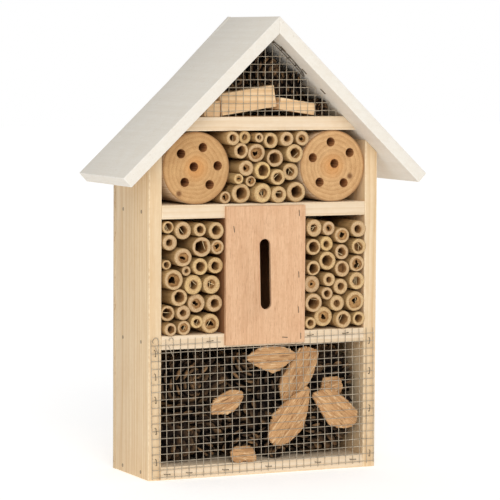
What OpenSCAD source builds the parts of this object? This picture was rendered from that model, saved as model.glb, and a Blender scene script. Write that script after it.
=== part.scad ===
// Insect hotel: a wooden house with three storeys and an attic, filled with
// drilled logs, bamboo tubes, pine cones, wood chips and offcut blocks.
// It stands on its base, with the open front towards -Y and the hanger at the back.

/* [House] */
// Width over both side boards
body_w = 192; // [160:1:231]
// Depth of the side boards, from front edge to back panel
side_depth = 66; // [55:1:80]
// Thickness of the side boards
side_t = 10.5; // [8.75:0.25:12.6]
// Thickness of the bottom board
bottom_t = 10; // [8:0.5:12]
// Thickness of the three shelves
shelf_t = 10.5; // [8.75:0.25:12.6]
// Clear height of the ground storey
lower_h = 89; // [74:0.5:107]
// Clear height of the middle storey
middle_h = 88; // [73:0.5:106]
// Clear height of the upper storey
upper_h = 55.5; // [46:0.5:67]
// Clear height of the attic under the ridge
attic_h = 63; // [52:0.5:76]
// Thickness of the back panel
back_t = 5; // [3:0.5:8]

/* [Roof] */
// Slope of both roof boards in degrees
roof_pitch = 43.5; // [36:0.5:52]
// Thickness of the roof boards
roof_t = 9.5; // [7:0.5:12]
// How far the eaves stand out past the side boards
eave_out = 30.5; // [20:0.5:40]
// How far the roof stands out in front of the side boards
roof_front = 24; // [10:0.5:35]
// Slope of the back panel's gable in degrees
gable_pitch = 45; // [43.5:0.5:50]

/* [Butterfly chamber] */
// Width of the thin front panel
panel_w = 66.7; // [55:0.1:80]
// Thickness of the front panel
panel_t = 3; // [2:0.5:4]
// How far the panel's edge stays inside the shelf edges above and below
panel_inset = 1.7; // [0.5:0.1:4]
// Thickness of the two upright dividers behind the panel
divider_t = 8; // [6:0.5:10]
// Length of the slot from end to end
slot_h = 54; // [40:1:70]
// Width of the slot
slot_w = 9; // [6:0.5:12]
// Lean of the hand-cut slot in degrees
slot_lean = 1.5; // [0:0.5:4]

/* [Logs] */
// Diameter of the holes drilled in the logs
log_hole_d = 7; // [6:0.5:8]
// Depth of those holes
log_hole_depth = 45; // [20:1:50]
// Free space between the logs and the back panel
log_room = 2.5; // [1:0.5:12]

/* [Bamboo] */
// How much shorter the tubes are than the side boards are deep
tube_room = 8; // [5:0.5:15]
// Bore of a tube as a share of its diameter
tube_bore = 0.52; // [0.3:0.01:0.7]
// How far the most proud tube stands out in front of the boards
tube_proud = 3; // [0:0.5:6]

/* [Cones and chips] */
// Number of cones along the ground storey's bottom row
cones_across = 6; // [5:1:7]
// Thickness of a wood chip
chip_t = 3.5; // [2:0.5:3.5]
// Depth of the offcut blocks in the attic
block_depth = 44; // [20:1:48]
// Length of the large block
large_block_w = 45.5; // [30:0.5:50]
// Height of the large block
large_block_h = 16.5; // [10:0.5:18]
// Length of the small block on the left
small_block_w = 13; // [8:0.5:14]
// Length of the block on the right
right_block_w = 30; // [20:0.5:34]

/* [Wire mesh] */
// Diameter of the mesh wire
wire_d = 0.8; // [0.5:0.1:1]
// Spacing of the upright wires
upright_pitch = 6.05; // [5:0.05:8]
// Spacing of the cross wires
cross_pitch = 5.9; // [5:0.05:8]
// Turn of the lower mesh on the front, in degrees
mesh_turn = 0.8; // [0:0.1:1.5]

/* [Fasteners] */
// Length of a staple's crown
staple_w = 5.5; // [4:0.5:8]
// Thickness of the staple wire
staple_t = 0.6; // [0.5:0.1:1]
// Diameter of a nail's shank
nail_d = 1.6; // [1.2:0.1:2.5]
// Diameter of a nail's head
nail_head_d = 3; // [2:0.1:4]

/* [Hanger] */
// Height of the hanger's pivot above the base
hanger_z = 292; // [270:1:305]
// Diameter of the ring's wire
ring_d = 2; // [1.5:0.1:3]
// Inside width of the ring
ring_w = 16; // [14:0.5:24]
// Length of the ring's straight legs
ring_leg = 17; // [15:0.5:25]
// Width of the strap and its sleeve
strap_w = 10; // [8:0.5:11]
// Length of the strap below the pivot
strap_l = 19; // [17:0.5:20]
// Thickness of the strap
strap_t = 1; // [0.8:0.1:1.5]

/* [Hidden] */
$fn = 48;

// Gap between loose pieces that lie against each other
gap = 0.15;
// Gap between the ring's wire and the sleeve it turns in
sleeve_gap = 0.08;
// Depth to which nails and staples reach into the wood
leg_l = 5;
// Thickness of a nail's head and how far it stands on the wood
head_t = 0.6;
head_proud = 0.1;

// Faces of the house, from front to back
front_y = -(side_depth + back_t) / 2;
seam_y = front_y + side_depth;
rear_y = seam_y + back_t;
inner_x = body_w / 2 - side_t;

// Floors and ceilings of the storeys
lower_floor = bottom_t;
lower_top = lower_floor + lower_h;
middle_floor = lower_top + shelf_t;
middle_top = middle_floor + middle_h;
upper_floor = middle_top + shelf_t;
upper_top = upper_floor + upper_h;
attic_floor = upper_top + shelf_t;
apex_z = attic_floor + attic_h;
ridge_z = apex_z + roof_t / cos(roof_pitch);

// Front panel, centred a little to the left, and the dividers behind its edges
panel_x = -0.5;
panel_left = panel_x - panel_w / 2;
panel_right = panel_x + panel_w / 2;
panel_low = lower_top + panel_inset;
panel_high = upper_floor - panel_inset;
slot_x = -0.7;
slot_z = (middle_floor + middle_top) / 2 + 0.6;

// Logs: the left one has a little more slack under the shelf above it
left_log_r = upper_h / 2 - 0.35;
right_log_r = upper_h / 2 - gap;
log_front = front_y + 1.5;
log_l = seam_y - log_room - log_front;
// A log lies against its side board, or against the roof where that comes lower
function log_reach(r, slack) = min(inner_x - r - slack,
    (apex_z - upper_floor - r - gap - (r + gap) / cos(roof_pitch)) / tan(roof_pitch));
left_log_x = -log_reach(left_log_r, 1);
right_log_x = log_reach(right_log_r, gap);
// Holes as [angle, distance from the middle]
left_holes = [[150, 2], [138, 16.5], [70, 16.5], [5, 18], [-48, 17], [-131, 14]];
right_holes = [[45, 2.5], [95, 18.5], [34, 18], [-53, 16.5], [-131, 16.5], [159, 18]];

// Tubes in the order they are laid: [place across the compartment from 0 to 1,
// diameter, extra lift, sideways tuck under a log's flank]
upper_tubes = [
    [0, 9.5, 0, -7.5], [0.73, 13, 0, 0], [0.05, 15.5, 0, 0], [0.42, 15, 0.5, 0], [1, 16, 0, 5.2],
    [0.27, 8.5, 0, 0], [0.04, 8, 0, 0], [0.7, 12.5, 0.5, 0], [0.98, 13.5, 0.5, 0],
    [0.42, 13.5, 0.5, 0], [0.14, 12.5, 0, 0], [0.67, 14, 1.1, 0], [1, 14.5, 0, 1],
    [0.32, 14.5, 0, 0], [0.05, 12, 0, 0], [0.58, 12, 1, 0], [0, 11, 0.5, -4.5],
    [0.84, 11.5, 0, 0], [1, 11.5, 0, 6], [0.17, 10, 0, 0], [0.37, 7.5, 0.5, 0]
];
left_tubes = [
    [0.32, 11, 0, 0], [0.03, 10, 0, 0], [0.93, 15.5, 0, 0], [0.56, 10, 0, 0], [0.31, 11.5, 0, 0],
    [0, 12, 0.5, 0], [0.98, 13.5, 1, 0], [0.6, 14.5, 0, 0], [0.18, 13.5, 0, 0],
    [0.92, 14.5, 0.5, 0], [0.49, 15, 0, 0], [0.02, 15.5, 0, 0], [0.37, 7.5, 0.5, 0],
    [0.62, 13, 0.5, 0], [1, 13, 1, 0], [0.02, 7.5, 0, 0], [0.24, 14.5, 0, 0],
    [0.98, 11, 2, 0], [0.66, 15.5, 0.5, 0], [0.01, 12, 2, 0], [0.27, 13.5, 1.5, 0],
    [0.97, 13, 0.4, 0], [0.6, 10.5, 0, 0], [0.02, 9.5, 0, 0]
];
right_tubes = [
    [0.03, 9.5, 0.5, 0], [0.69, 13.5, 0.5, 0], [1, 11, 2, 0], [0.28, 15.5, 0.5, 0],
    [0.55, 12.5, 0.5, 0], [0.02, 14.5, 0, 0], [1, 16, 0, 0], [0.34, 10, 0.5, 0],
    [0.65, 12.5, 0.5, 0], [0.02, 13.5, 0, 0], [1, 13.5, 1, 0], [0.37, 10.5, 0.5, 0],
    [0.05, 11.5, 0, 0], [0.68, 13, 1, 0], [1, 13, 0, 0], [0.35, 14.5, 1, 0],
    [0.66, 12, 0.5, 0], [1, 12.5, 0.5, 0], [0.04, 12.5, 4, 0], [0.36, 11.5, 0, 0],
    [0.65, 12.5, 0.5, 0], [1, 13.5, 0.5, 0], [0.05, 13.5, 1.5, 0], [0.38, 11, 0.5, 0]
];
upper_groups = 7;
side_groups = 8;

// Ground storey: chips stand in two layers behind the mesh, cones fill the rest
chip_front = front_y + 0.3;
cone_front = chip_front + 2 * (chip_t + gap);
cone_d = 2 * inner_x / cones_across - 2 * gap;
cone_l = (seam_y - cone_front) / 2 - gap;

// Mesh over the ground storey
mesh_left = -body_w / 2 + 3.2;
mesh_low = 0.9;
mesh_right = body_w / 2 - 1;
mesh_high = middle_floor - 2.5;
// Mesh of the attic, just behind the shelf's front edge
attic_mesh_y = front_y + 0.5;

// Hanger
sleeve_r = ring_d / 2 + sleeve_gap + strap_t;
hanger_y = rear_y + sleeve_r + 0.1;
screw_drops = [-7, -14];

// ---- Shared shapes ----

// Height of the roof boards' underside at a distance x from the ridge
function roof_under(x) = apex_z - abs(x) * tan(roof_pitch);

// An outline in X and Z, extruded backwards from y
module slab(outline, y, depth) {
    translate([0, y + depth, 0])
        rotate([90, 0, 0])
            linear_extrude(depth)
                polygon(outline);
}

// A board that fills the house from side to side between two heights,
// with its ends cut to the roof where the roof is lower
module cross_board(low, high) {
    high_x = min(inner_x, (apex_z - high) / tan(roof_pitch));
    low_x = min(inner_x, (apex_z - low) / tan(roof_pitch));
    slab([[-low_x, low], [low_x, low], [high_x, high], [-high_x, high]], front_y, side_depth);
}

// A straight round bar between two points in one X-Z plane
module bar(x1, z1, x2, z2, y, d) {
    length = norm([x2 - x1, z2 - z1]);
    translate([x1, y, z1])
        rotate([0, atan2(x2 - x1, z2 - z1), 0])
            cylinder(h = length, d = d, $fn = 24);
}

// A staple on the front at x, z: a crown with two legs into the wood behind it
module staple(x, y, z, turn, legs = leg_l) {
    translate([x, y, z])
        rotate([0, turn, 0]) {
            translate([-staple_w / 2, -staple_t, -staple_t])
                cube([staple_w, staple_t, 2 * staple_t]);
            for (side = [-1, 1])
                translate([side * (staple_w / 2 - staple_t / 2) - staple_t / 2, -staple_t, -staple_t])
                    cube([staple_t, legs + staple_t, 2 * staple_t]);
        }
}

// A nail driven along +Y into a face at the origin, its head almost flush
module nail(length) {
    rotate([-90, 0, 0]) {
        cylinder(h = length, d = nail_d);
        translate([0, 0, -head_proud])
            cylinder(h = head_t, d = nail_head_d);
    }
}

// A closed cone: an egg with its axis along Y
module egg(d, l) {
    rotate([-90, 0, 0])
        rotate_extrude()
            polygon(concat([[0, -l / 2]],
                [for (a = [30:30:150]) [d / 2 * pow(sin(a), 0.8), -l / 2 * cos(a)]],
                [[0, l / 2]]));
}

// ---- House ----

module side_board(side) {
    outer = side * body_w / 2;
    inner = side * inner_x;
    slab([[outer, 0], [inner, 0], [inner, roof_under(inner)], [outer, roof_under(outer)]],
        front_y, side_depth);
}

module left_side_board() { color("burlywood") side_board(-1); }
module right_side_board() { color("burlywood") side_board(1); }
module bottom_board() { color("wheat") cross_board(0, bottom_t); }
module lower_shelf() { color("wheat") cross_board(lower_top, middle_floor); }
module middle_shelf() { color("wheat") cross_board(middle_top, upper_floor); }
module top_shelf() { color("wheat") cross_board(upper_top, attic_floor); }

module back_panel() {
    tip = ridge_z + 0.3;
    shoulder = tip - body_w / 2 * tan(gable_pitch);
    color("tan")
        slab([[-body_w / 2, 0], [body_w / 2, 0], [body_w / 2, shoulder], [0, tip],
            [-body_w / 2, shoulder]], seam_y, back_t);
}

module divider(x) {
    color("tan")
        translate([x, front_y, middle_floor])
            cube([divider_t, side_depth, middle_h]);
}

module left_divider() { divider(panel_left); }
module right_divider() { divider(panel_right - divider_t); }

// ---- Roof ----

module roof_board(side) {
    eave_x = body_w / 2 + eave_out;
    eave_z = ridge_z - eave_x * tan(roof_pitch);
    edge_x = eave_x - roof_t * sin(roof_pitch);
    edge_z = eave_z - roof_t * cos(roof_pitch);
    color("ivory")
        slab([[0, apex_z], [0, ridge_z], [side * eave_x, eave_z], [side * edge_x, edge_z]],
            front_y - roof_front, roof_front + side_depth);
}

module left_roof_board() { roof_board(-1); }
module right_roof_board() { roof_board(1); }

// ---- Front panel with its slot ----

module front_panel() {
    half = (slot_h - slot_w) / 2;
    color("peru")
        difference() {
            translate([panel_left, front_y - panel_t, panel_low])
                cube([panel_w, panel_t, panel_high - panel_low]);
            translate([slot_x, front_y + 1, slot_z])
                rotate([0, -slot_lean, 0])
                    rotate([90, 0, 0]) {
                        translate([-slot_w / 2, -half, 0])
                            cube([slot_w, 2 * half, panel_t + 2]);
                        for (end = [-1, 1])
                            translate([0, end * half, 0])
                                cylinder(h = panel_t + 2, d = slot_w);
                    }
        }
}

// ---- Logs ----

module drilled_log(x, r, holes) {
    color("peru")
        translate([x, log_front, upper_floor + r + gap])
            rotate([-90, 0, 0])
                difference() {
                    cylinder(h = log_l, r = r);
                    for (hole = holes)
                        translate([hole[1] * cos(hole[0]), -hole[1] * sin(hole[0]), -1])
                            cylinder(h = log_hole_depth + 1, d = log_hole_d);
                }
}

module left_log() { drilled_log(left_log_x, left_log_r, left_holes); }
module right_log() { drilled_log(right_log_x, right_log_r, right_holes); }

// ---- Bamboo ----

// Height at which a tube comes to rest on the floor or on the tubes below it
function rest_z(x, r, placed, floor_z) = max(concat([floor_z + r + gap],
    [for (p = placed)
        let (reach = r + p[2] + gap, off = abs(x - p[0]))
        if (off < reach) p[1] + sqrt(reach * reach - off * off)]));

// How far from a log's axis a tube of radius r stays at height z
function flank(log_r, r, z) =
    let (reach = log_r + r + gap, up = z - upper_floor - log_r - gap)
    sqrt(max(0, reach * reach - up * up));

// Moves a tube at x clear of the logs [x, radius] on its left and right
function beside_logs(x, r, z, logs) = len(logs) == 0 ? x :
    min(max(x, logs[0][0] + flank(logs[0][1], r, z)), logs[1][0] - flank(logs[1][1], r, z));

// Lays the tubes one after another between two walls: [x, z, radius] of each
function lay(tubes, left, right, floor_z, logs = [], placed = [], i = 0) =
    i == len(tubes) ? placed :
    let (
        r = tubes[i][1] / 2,
        free = right - left - 2 * (r + gap),
        wanted = left + r + gap + tubes[i][0] * free + tubes[i][3],
        x = beside_logs(wanted, r, rest_z(wanted, r, placed, floor_z) + tubes[i][2], logs),
        z = rest_z(x, r, placed, floor_z) + tubes[i][2]
    )
    lay(tubes, left, right, floor_z, logs, concat(placed, [[x, z, r]]), i + 1);

// A compartment holds the tubes that fit under its ceiling
function fitting(tubes, top) = [for (t = tubes) if (t[1] + t[2] + gap / 2 < top) t];

upper_stack = fitting(lay(upper_tubes, left_log_x + left_log_r, right_log_x - right_log_r,
    upper_floor, [[left_log_x, left_log_r], [right_log_x, right_log_r]]), upper_top);
left_stack = fitting(lay(left_tubes, -inner_x, panel_left, middle_floor), middle_top);
right_stack = fitting(lay(right_tubes, panel_right, inner_x, middle_floor), middle_top);

// The tubes of one group, each standing out in front by its own amount
module bamboo(stack, group, groups, seed) {
    tube_l = side_depth - tube_room;
    reach = rands(0, 1, len(stack), seed);
    first = floor((group - 1) * len(stack) / groups);
    last = floor(group * len(stack) / groups) - 1;
    color("wheat")
        for (i = [first:last])
            translate([stack[i][0], front_y + tube_proud * (1 - 2 * reach[i]), stack[i][1]])
                rotate([-90, 0, 0])
                    difference() {
                        cylinder(h = tube_l, r = stack[i][2]);
                        translate([0, 0, -1])
                            cylinder(h = tube_l + 2, r = stack[i][2] * tube_bore);
                    }
}

// ---- Attic filling ----

// Half the attic's width at a height above its floor
function attic_reach(height) = (attic_h - height) / tan(roof_pitch);

attic_front = attic_mesh_y + 2 * wire_d;
large_block_x = -0.704 * attic_reach(large_block_h);
right_block_x = large_block_x + large_block_w + 1.8;

// An offcut with its lower left corner at x and a height above the attic floor
module offcut(x, lift, w, h, turn, depth) {
    color("wheat")
        translate([x, attic_front + 1, attic_floor + lift])
            rotate([0, -turn, 0])
                cube([w, depth, h]);
}

module large_attic_block() {
    offcut(large_block_x, 0.9, large_block_w, large_block_h, 8.5, block_depth);
}
module small_attic_block() {
    offcut(large_block_x - 2.2 - small_block_w, gap, small_block_w, 12, 0, block_depth);
}
module right_attic_block() {
    offcut(right_block_x, 5.6, right_block_w, 9, -9, block_depth / 2);
}

// Cones of the attic: [place across under the roof from -1 to 1, height above the floor,
// place from front to back from 0 to 1, diameter]
attic_cone_places = [
    [-0.87, 28.9, 0.045, 17], [-0.87, 28.9, 0.554, 17], [0.05, 36.2, 0.045, 25],
    [0.05, 36.2, 0.815, 25], [0.2, 54, 0.19, 9.5], [0.94, 24.2, 0.01, 20],
    [0.69, 12.3, 0.7, 24], [0.99, 6.4, 0.055, 12], [0.98, 5.7, 0.316, 11], [0.99, 6.8, 0.59, 13]
];

module attic_cones() {
    color("saddlebrown")
        for (p = attic_cone_places) {
            r = p[3] / 2;
            l = 1.1 * p[3];
            reach = attic_reach(p[1]) - (r + gap) / sin(roof_pitch);
            translate([p[0] * reach, attic_front + l / 2 + p[2] * (seam_y - attic_front - l),
                attic_floor + p[1]])
                egg(p[3], l);
        }
}

// ---- Ground storey filling ----

// Three rows of cones, each row lying in the hollows of the one below
module cone_layer(y) {
    row_h = (cone_d + 2 * gap) * sin(60);
    color("saddlebrown")
        for (row = [0:floor((lower_h - cone_d) / row_h)], col = [0:cones_across - 1 - row % 2])
            translate([(col + row % 2 / 2 - (cones_across - 1) / 2) * (cone_d + 2 * gap), y,
                lower_floor + gap + cone_d / 2 + row * row_h])
                egg(cone_d, cone_l);
}

module front_pine_cones() { cone_layer(cone_front + cone_l / 2); }
module rear_pine_cones() { cone_layer(cone_front + cone_l * 1.5 + gap); }

// A chip outline is drawn from the middle of the floor, or of the ceiling for a chip
// that is wedged under it
module chip(outline, layer, base = lower_floor) {
    color("sandybrown")
        translate([0, 0, base])
            slab(outline, chip_front + layer * (chip_t + gap), chip_t);
}

module front_wood_chips() {
    chip([[-15, -9], [-8, -5], [-2, -1], [17, -2], [27, -9], [18, -15], [9, -21], [-4, -17]], 0,
        lower_top);
    chip([[37, 55], [38, 45], [35, 32], [31, 21], [17, 12], [7, 14], [5, 24], [10, 37], [22, 46]], 0);
    chip([[42, 48], [50, 52], [59, 52], [76, 39], [80, 31], [78, 24], [67, 22], [56, 26]], 0);
    chip([[-44, 38], [-42, 49], [-29, 56], [-18, 54], [-18, 48], [-27, 39]], 0);
    chip([[-27, 12], [-10, 12], [-6, 0.3], [-26, 0.3]], 0);
}

module rear_wood_chips() {
    chip([[33, -4], [47, -7], [46, -17], [41, -28], [35, -38], [26, -43], [18, -44], [16, -28],
        [24, -17]], 1, lower_top);
    chip([[53, 61], [63, 63], [69, 57], [68, 49], [60, 44], [50, 50]], 1);
}

// ---- Wire mesh ----

// The lower mesh stands in its own turned frame at its lower left corner
module lower_mesh_frame() {
    color("silver")
        translate([mesh_left, 0, mesh_low])
            rotate([0, -mesh_turn, 0])
                children();
}

mesh_w = mesh_right - mesh_left;
mesh_h = mesh_high - mesh_low;
notch_left = panel_left - mesh_left - 2;
notch_right = panel_right - mesh_left + 2;
notch_z = panel_low - mesh_low - 2.5;

// Upright wires lie on the boards and stop below the front panel
module lower_mesh_uprights() {
    lower_mesh_frame()
        for (x = [0:upright_pitch:mesh_w]) {
            under_panel = x > notch_left && x < notch_right;
            bar(x, 0, x, under_panel ? notch_z : mesh_h, front_y - wire_d / 2, wire_d);
        }
}

// Cross wires lie in front of the uprights, in two lengths beside the panel
module lower_mesh_crosswires() {
    lower_mesh_frame()
        for (z = [cross_pitch / 4:cross_pitch:mesh_h])
            if (z < notch_z) {
                bar(0, z, mesh_w, z, front_y - 1.5 * wire_d, wire_d);
            } else {
                bar(0, z, notch_left, z, front_y - 1.5 * wire_d, wire_d);
                bar(notch_right, z, mesh_w, z, front_y - 1.5 * wire_d, wire_d);
            }
}

module attic_mesh() {
    edge = 1;
    half_w = (attic_h - edge) / tan(roof_pitch) - 2 * edge;
    across = floor(half_w / upright_pitch);
    color("silver") {
        for (k = [-across:across])
            bar(k * upright_pitch, attic_floor + gap, k * upright_pitch,
                roof_under(k * upright_pitch) - edge, attic_mesh_y + 1.5 * wire_d, wire_d);
        for (z = [attic_floor + cross_pitch * 0.75:cross_pitch:apex_z - 2 * cross_pitch])
            bar(-(apex_z - z) / tan(roof_pitch) + edge, z, (apex_z - z) / tan(roof_pitch) - edge, z,
                attic_mesh_y + wire_d / 2, wire_d);
        // Edge wire of the strip folded forward along the right roof board
        bar(4, roof_under(4) - edge, 33, roof_under(33) - edge, front_y - 5, wire_d);
    }
}

// ---- Staples ----

mesh_face = front_y - 2 * wire_d;

// Staples over an upright wire lie across, those over a cross wire stand up
module lower_mesh_staples() {
    lower_mesh_frame() {
        for (k = [2, 5, 10, 16, 23, 28])
            staple(k * upright_pitch, mesh_face, bottom_t / 2 - mesh_low - 0.5, 4);
        for (k = [8, 22, 27])
            staple(k * upright_pitch, mesh_face, lower_top + shelf_t / 2 - mesh_low - 0.4, -6);
        for (k = [2, 6, 10, 13, 16])
            staple(3, mesh_face, (k + 0.25) * cross_pitch, 84);
        for (k = [1, 7, 12, 16])
            staple(mesh_w - 4, mesh_face, (k + 0.25) * cross_pitch, -85);
    }
}

module attic_mesh_staples() {
    color("gainsboro")
        for (side = [-1, 1], x = [12, 30, 46])
            translate([side * x, 0, roof_under(x)])
                rotate([0, side * roof_pitch, 0])
                    translate([0, front_y - 5, 0])
                        rotate([90, 0, 90])
                            staple(0, 0, 0, 90, 4);
}

module panel_staples() {
    face = front_y - panel_t;
    color("gainsboro") {
        for (z = [middle_floor + 16.5, middle_floor + 43.5, panel_high - 6])
            staple(panel_right - 5.5, face, z, 86);
        staple(panel_left + 6.5, face, middle_top - 8.5, 80);
        staple(panel_right - 3.5, face, panel_low + 5, 88);
        staple(panel_right - 17, face, panel_low + 4.4, 5);
    }
}

// ---- Nails ----

// Two nails through each side board into the end of every board between them
module side_nails() {
    color("silver")
        for (side = [-1, 1], z = [bottom_t / 2, lower_top + shelf_t / 2, middle_top + shelf_t / 2],
            y = [front_y + 15, seam_y - 15])
            translate([side * body_w / 2, y, z])
                rotate([0, 0, side * 90])
                    nail(side_t + 9);
}

// Three nails through each roof board into the top of the side board
module roof_nails() {
    x = body_w / 2 - side_t / 2;
    color("ivory")
        for (side = [-1, 1], y = [front_y + 10, (front_y + seam_y) / 2, seam_y - 10])
            translate([side * (x + roof_t * sin(roof_pitch)), y,
                roof_under(x) + roof_t * cos(roof_pitch)])
                rotate([0, side * roof_pitch, 0])
                    rotate([-90, 0, 0])
                        nail(roof_t + 6);
}

// Nails through the back panel into the side boards and shelves
module back_nails() {
    color("silver") {
        for (side = [-1, 1], z = [30, 120, 215])
            translate([side * (body_w - side_t) / 2, rear_y, z])
                rotate([0, 0, 180])
                    nail(back_t + 9);
        for (z = [bottom_t / 2, lower_top + shelf_t / 2, middle_top + shelf_t / 2,
            upper_top + shelf_t / 2], x = [-40, 40])
            translate([x, rear_y, z])
                rotate([0, 0, 180])
                    nail(back_t + 9);
    }
}

// ---- Hanger ----

module hanger_strap() {
    color("silver")
        difference() {
            union() {
                translate([-strap_w / 2, rear_y, hanger_z - strap_l])
                    cube([strap_w, strap_t, strap_l]);
                translate([-strap_w / 2, hanger_y, hanger_z])
                    rotate([0, 90, 0])
                        cylinder(h = strap_w, r = sleeve_r);
            }
            translate([-strap_w / 2 - 1, hanger_y, hanger_z])
                rotate([0, 90, 0])
                    cylinder(h = strap_w + 2, r = ring_d / 2 + sleeve_gap);
            for (drop = screw_drops)
                translate([0, rear_y - 1, hanger_z + drop])
                    rotate([-90, 0, 0])
                        cylinder(h = strap_t + 2, d = 3);
        }
}

module hanger_screws() {
    color("silver")
        for (drop = screw_drops)
            translate([0, rear_y + strap_t, hanger_z + drop]) {
                rotate([90, 0, 0])
                    cylinder(h = strap_t + back_t - 0.5, d = 2.5);
                rotate([-90, 0, 0])
                    cylinder(h = 1, d = 5);
            }
}

// The ring: a bar in the sleeve, two legs and a half circle below
module hanger_ring() {
    half = (ring_w + ring_d) / 2;
    color("silver")
        translate([0, hanger_y, hanger_z]) {
            translate([-half, 0, 0])
                rotate([0, 90, 0])
                    cylinder(h = 2 * half, d = ring_d);
            for (side = [-1, 1]) {
                translate([side * half, 0, 0])
                    sphere(d = ring_d);
                translate([side * half, 0, -ring_leg])
                    cylinder(h = ring_leg, d = ring_d);
            }
            translate([0, 0, -ring_leg])
                rotate([-90, 0, 0])
                    rotate_extrude(angle = 180)
                        translate([half, 0])
                            circle(d = ring_d);
        }
}

left_side_board();
right_side_board();
bottom_board();
lower_shelf();
middle_shelf();
top_shelf();
back_panel();
left_divider();
right_divider();
left_roof_board();
right_roof_board();
front_panel();
left_log();
right_log();
large_attic_block();
small_attic_block();
right_attic_block();
attic_cones();
front_pine_cones();
rear_pine_cones();
front_wood_chips();
rear_wood_chips();
lower_mesh_uprights();
lower_mesh_crosswires();
attic_mesh();
lower_mesh_staples();
attic_mesh_staples();
panel_staples();
side_nails();
roof_nails();
back_nails();
hanger_strap();
hanger_screws();
hanger_ring();
for (k = [1:upper_groups])
    bamboo(upper_stack, k, upper_groups, 11);
for (k = [1:side_groups])
    bamboo(left_stack, k, side_groups, 12);
for (k = [1:side_groups])
    bamboo(right_stack, k, side_groups, 13);
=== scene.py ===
# %% [markdown]
# # Insect hotel
# A wooden house with three storeys and an attic, packed with nesting places for insects:
# drilled logs, bamboo tubes, pine cones, wood chips and offcuts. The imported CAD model
# gives every piece its place and its size. This lesson gives each piece its worked shape
# and its finish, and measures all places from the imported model.

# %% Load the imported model
import math
import random

import bmesh
import bpy
import numpy as np
from mathutils import Matrix, Vector, noise


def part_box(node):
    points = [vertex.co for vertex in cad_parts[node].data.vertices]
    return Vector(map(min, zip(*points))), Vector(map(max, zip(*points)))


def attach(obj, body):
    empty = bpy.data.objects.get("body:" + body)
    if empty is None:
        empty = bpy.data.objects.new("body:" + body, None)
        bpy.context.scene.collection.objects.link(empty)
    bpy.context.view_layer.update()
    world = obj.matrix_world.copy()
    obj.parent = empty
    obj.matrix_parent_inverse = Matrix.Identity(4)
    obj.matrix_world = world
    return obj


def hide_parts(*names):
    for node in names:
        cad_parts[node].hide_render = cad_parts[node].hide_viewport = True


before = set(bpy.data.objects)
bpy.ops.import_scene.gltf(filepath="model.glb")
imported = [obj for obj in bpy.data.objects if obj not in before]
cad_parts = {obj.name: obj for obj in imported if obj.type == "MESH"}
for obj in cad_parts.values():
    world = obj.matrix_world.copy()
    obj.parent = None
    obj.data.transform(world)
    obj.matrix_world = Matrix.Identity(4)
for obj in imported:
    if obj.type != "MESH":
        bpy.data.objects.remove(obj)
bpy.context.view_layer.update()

mm = 0.001
house = "house"
print("nodes:", len(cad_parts))

# %% [markdown]
# ## Camera
# The house is seen from slightly above and from its left, from far enough away that its
# edges stay nearly parallel. The camera could be aimed with a constraint. Working out its
# three axes also gives the small roll, and leaves nothing live in the scene.

# %% Camera
azimuth = math.radians(-24.94)
elevation = math.radians(4.36)
roll = math.radians(0.34)
distance = 2.0988
aim = Vector((0.0039, 0, 0.1697))
lens = 194.8

backward = Vector((
    math.sin(azimuth) * math.cos(elevation),
    -math.cos(azimuth) * math.cos(elevation),
    math.sin(elevation),
))
level_right = (-backward).cross(Vector((0, 0, 1))).normalized()
level_up = level_right.cross(-backward)
camera_right = math.cos(roll) * level_right + math.sin(roll) * level_up
camera_up = math.cos(roll) * level_up - math.sin(roll) * level_right

camera_data = bpy.data.cameras.new("camera")
camera_data.lens = lens
camera_data.sensor_width = 36
camera = bpy.data.objects.new("camera", camera_data)
bpy.context.scene.collection.objects.link(camera)
axes = Matrix((camera_right, camera_up, backward)).transposed().to_4x4()
camera.matrix_world = Matrix.Translation(aim + backward * distance) @ axes
bpy.context.scene.camera = camera
print("camera at", [round(value, 3) for value in camera.location])

# %% [markdown]
# ## Colours and nodes
# Colours are easiest to choose on the usual scale from 0 to 255, but a shader works in
# linear light, so one function converts them. The other helpers add a node and either
# set or link each of its sockets, which keeps the materials below short.

# %% Helpers for colours and nodes
def tint(red, green, blue):
    """The linear colour of three values from 0 to 255."""
    def linear(value):
        value /= 255
        return value / 12.92 if value <= 0.04045 else ((value + 0.055) / 1.055) ** 2.4
    return (linear(red), linear(green), linear(blue), 1)


def feed(tree, socket, value):
    """Links a socket to another socket, or sets it to a plain value."""
    if isinstance(value, bpy.types.NodeSocket):
        tree.links.new(value, socket)
    else:
        socket.default_value = value


def add(tree, kind, settings=None, **inputs):
    """Adds a node, with its settings and its sockets by name."""
    node = tree.nodes.new("ShaderNode" + kind)
    for name, value in (settings or {}).items():
        setattr(node, name, value)
    for name, value in inputs.items():
        feed(tree, node.inputs[name.replace("_", " ")], value)
    return node


def calculate(tree, operation, *values, clamp=False):
    """A Math node on one to three values; gives its result."""
    node = add(tree, "Math", {"operation": operation, "use_clamp": clamp})
    for socket, value in zip(node.inputs, values):
        feed(tree, socket, value)
    return node.outputs[0]


def vector_step(tree, operation, *values):
    """A Vector Math node; gives its vector."""
    node = add(tree, "VectorMath", {"operation": operation})
    for socket, value in zip(node.inputs, values):
        feed(tree, socket, value)
    return node.outputs["Vector"]


def blend(tree, amount, first, second, how="MIX"):
    """A Mix node on two colours; gives the mixed colour."""
    node = add(tree, "Mix", {"data_type": "RGBA", "blend_type": how})
    for number, value in ((0, amount), (6, first), (7, second)):
        feed(tree, node.inputs[number], value)
    return node.outputs[2]


def spread(tree, value, low, high, new_low=0.0, new_high=1.0):
    """Maps a range of a value onto another range, cut off at both ends."""
    node = add(tree, "MapRange", None, Value=value, From_Min=low, From_Max=high,
               To_Min=new_low, To_Max=new_high)
    return node.outputs[0]


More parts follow.
